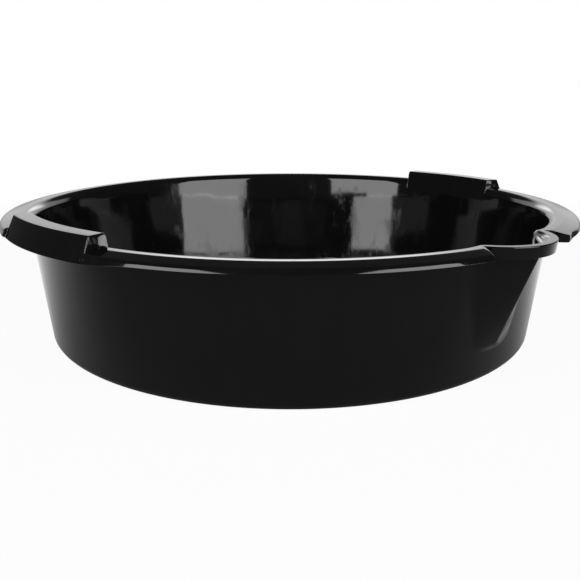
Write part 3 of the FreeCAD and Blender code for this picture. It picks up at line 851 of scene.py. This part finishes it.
# %% Camera
VIEW_DIRECTION, VIEW_PITCH = math.radians(48.0), math.radians(-15.97)
CAMERA_PLACE = (-0.3832, -0.4256, 0.1846)
LENS, SENSOR_WIDTH = 42.26, 36.0
NEAREST_SEEN = 0.01
look = Vector((math.cos(VIEW_DIRECTION) * math.cos(VIEW_PITCH),
               math.sin(VIEW_DIRECTION) * math.cos(VIEW_PITCH), math.sin(VIEW_PITCH)))
camera_data = bpy.data.cameras.new("camera")
camera_data.lens = LENS
camera_data.sensor_width = SENSOR_WIDTH
camera_data.clip_start = NEAREST_SEEN
camera = bpy.data.objects.new("camera", camera_data)
camera.location = CAMERA_PLACE
camera.rotation_mode = "QUATERNION"
camera.rotation_quaternion = look.to_track_quat("-Z", "Y")
bpy.context.scene.collection.objects.link(camera)
bpy.context.scene.camera = camera
print("camera looks along", [round(v, 3) for v in look])

# %% [markdown]
# ## Studio
#
# Black gloss shows the studio more than its own colour. Behind the pan is a bright
# backdrop, low and no wider than it has to be, which draws the light line along the crest
# and the pale edges of the wall. A picture of a studio could stand in for it, but a
# formula on the direction says plainly where the backdrop begins and ends. The rest of
# the room is dim. To the camera itself the room is white, as in the photograph.

# %% World
ROOM_GLOW = 0.05
BACKDROP_GLOW, LOW_GLOW_GAIN, MIDDLE_GLOW_GAIN = 0.55, 0.45, 2.1
BACKDROP_WIDTH, BACKDROP_TOP = (0.73, 0.79), (0.33, 0.43)
LOW_GLOW_RISE = (0.02, 0.12)
MIDDLE_GLOW_RISE, MIDDLE_GLOW_WIDTH = (0.15, 0.26), (0.93, 0.965)
WHITE = (1.0, 1.0, 1.0, 1.0)


def along_view(axes):
    """Share of a vector along the view in plan: x cos(direction) + y sin(direction)."""
    return axes.out("X") * math.cos(VIEW_DIRECTION) + axes.out("Y") * math.sin(VIEW_DIRECTION)


def make_world():
    """White to the camera; to the plastic, a bright low backdrop behind the pan in a dim room."""
    world = bpy.data.worlds.new("studio")
    bpy.context.scene.world = world
    room = start_tree(world)
    direction = room.node("ShaderNodeTexCoord").out("Generated")
    axes = room.node("ShaderNodeSeparateXYZ", None, Vector=direction)
    behind, up = along_view(axes), axes.out("Z")
    backdrop = behind.steps(*BACKDROP_WIDTH) * (1 - up.steps(*BACKDROP_TOP))
    middle_glow = MIDDLE_GLOW_GAIN * up.steps(*MIDDLE_GLOW_RISE) * behind.steps(*MIDDLE_GLOW_WIDTH)
    studio = ROOM_GLOW + backdrop * (BACKDROP_GLOW + LOW_GLOW_GAIN * up.steps(*LOW_GLOW_RISE) + middle_glow)
    seen = room.node("ShaderNodeLightPath").out("Is Camera Ray")
    light = room.node("ShaderNodeBackground", None, Color=WHITE, Strength=seen + (1 - seen) * studio)
    room.node("ShaderNodeOutputWorld", None, Surface=light)
    print("world:", len(room.tree.nodes), "nodes")


make_world()

# %% [markdown]
# ## Lamps
#
# Two tall soft boxes stand in front, left and right, and show as tall soft patches on the
# inside of the far wall. Their places follow from the highlights: the mirror direction at
# a highlight points at its lamp. Lower on that wall the photograph shows the bright room
# on the camera's side, past the near rim. Two small panels just inside the near wall stand
# in for it. Emitting planes would do as well, but area lamps are sampled with less noise,
# and the camera doesn't see them.

# %% Lamps
SOFT_BOX_DISTANCE, SOFT_BOX_LOW, SOFT_BOX_HIGH, SOFT_BOX_RADIANCE = 1.3, 0.03, 1.25, 4.6
SOFT_BOXES = {"soft_box_left": (163.0, 203.5), "soft_box_right": (254.0, 295.0)}
NEAR_PANEL_HIGH, NEAR_PANEL_RADIANCE = 0.098, 4.4
NEAR_PANELS = {"near_panel_right": ((0.142, -0.131), (-0.012, -0.192), 0.006),
               "near_panel_left": ((-0.192, 0.012), (-0.156, 0.113), 0.012)}


def soft_box(name, start, end, low, high, radiance):
    """Upright lamp over the line between two plan points; its power is pi x area x radiance."""
    along = Vector(end) - Vector(start)
    lamp = bpy.data.lights.new(name, "AREA")
    lamp.shape = "RECTANGLE"
    lamp.size, lamp.size_y = along.length, high - low
    lamp.energy = math.pi * lamp.size * lamp.size_y * radiance
    box = bpy.data.objects.new(name, lamp)
    box.location = ((start[0] + end[0]) / 2, (start[1] + end[1]) / 2, (low + high) / 2)
    box.rotation_mode = "QUATERNION"
    facing = Vector((along.y, -along.x, 0)).normalized()
    if facing.dot(box.location) > 0:
        facing = -facing
    box.rotation_quaternion = facing.to_track_quat("-Z", "Y")
    box.visible_camera = False
    bpy.context.scene.collection.objects.link(box)
    print(f"{name}: {lamp.size:.2f} x {lamp.size_y:.2f} m, {lamp.energy:.2f} W")


def at(azimuth, distance):
    """Plan point at a direction in degrees from +X and a distance in metres."""
    return (distance * math.cos(math.radians(azimuth)), distance * math.sin(math.radians(azimuth)))


for box_name, azimuths in SOFT_BOXES.items():
    box_start, box_end = (at(azimuth, SOFT_BOX_DISTANCE) for azimuth in azimuths)
    soft_box(box_name, box_start, box_end, SOFT_BOX_LOW, SOFT_BOX_HIGH, SOFT_BOX_RADIANCE)
for panel_name, (panel_start, panel_end, panel_low) in NEAR_PANELS.items():
    soft_box(panel_name, panel_start, panel_end, panel_low, NEAR_PANEL_HIGH, NEAR_PANEL_RADIANCE)

# %% [markdown]
# ## Table
#
# The photograph has no table: the pan stands on white, with a faint shadow at its foot.
# A shadow catcher would need compositing, so the table is a white surface that glows.
# A little ordinary shading mixed in lets the shadow show. In the plastic the table is
# mirrored bright only towards the backdrop, and it lights the pan as a mid grey.

# %% Table
TABLE_SIDES, TABLE_RADIUS = 96, 6.0
LIGHTING_GREY, SEEN_WHITE = (0.20, 0.20, 0.20, 1.0), (0.90, 0.90, 0.90, 1.0)
GLOW_BY_PAN, FAR_GLOW_GAIN, GLOW_RANGE = 0.94, 0.06, (0.4, 1.0)
MIRRORED_FROM, MIRRORED_LOSS, LOSS_RANGE = (-0.22, 0.16), 0.5, (0.4, 1.3)


def make_table():
    """Pale table top: mostly plain white to the camera, so that only the pan's soft shadow shows."""
    material = bpy.data.materials.new("table_white")
    table = start_tree(material)
    paths = table.node("ShaderNodeLightPath")
    seen, mirrored = paths.out("Is Camera Ray"), paths.out("Is Glossy Ray")
    where = table.node("ShaderNodeTexCoord").out("Object")
    along = along_view(table.node("ShaderNodeSeparateXYZ", None, Vector=where))
    away = table.node("ShaderNodeVectorMath", {"operation": "LENGTH"}, where).out("Value")
    lit = table.node("ShaderNodeBsdfDiffuse", None, Color=seen.between(LIGHTING_GREY, SEEN_WHITE))
    plain = table.node("ShaderNodeEmission", None, Color=WHITE, Strength=1.0)
    whole = (seen * (GLOW_BY_PAN + FAR_GLOW_GAIN * away.steps(*GLOW_RANGE))
             + mirrored * along.steps(*MIRRORED_FROM) * (1.0 - MIRRORED_LOSS * away.steps(*LOSS_RANGE)))
    mixed = table.node("ShaderNodeMixShader", None, whole, lit, plain)
    table.node("ShaderNodeOutputMaterial", None, Surface=mixed)
    mesh = bpy.data.meshes.new("table_top")
    angles = np.linspace(0, 2 * math.pi, TABLE_SIDES + 1)[:-1]
    edge = np.stack([np.cos(angles), np.sin(angles), 0 * angles], -1) * TABLE_RADIUS
    mesh.from_pydata(edge.tolist(), [], [list(range(TABLE_SIDES))])
    mesh.materials.append(material)
    top = bpy.data.objects.new("table_top", mesh)
    bpy.context.scene.collection.objects.link(top)
    print("table:", len(table.tree.nodes), "nodes")


make_table()
bpy.context.scene.view_settings.view_transform = "Standard"

# %% [markdown]
# ## The end
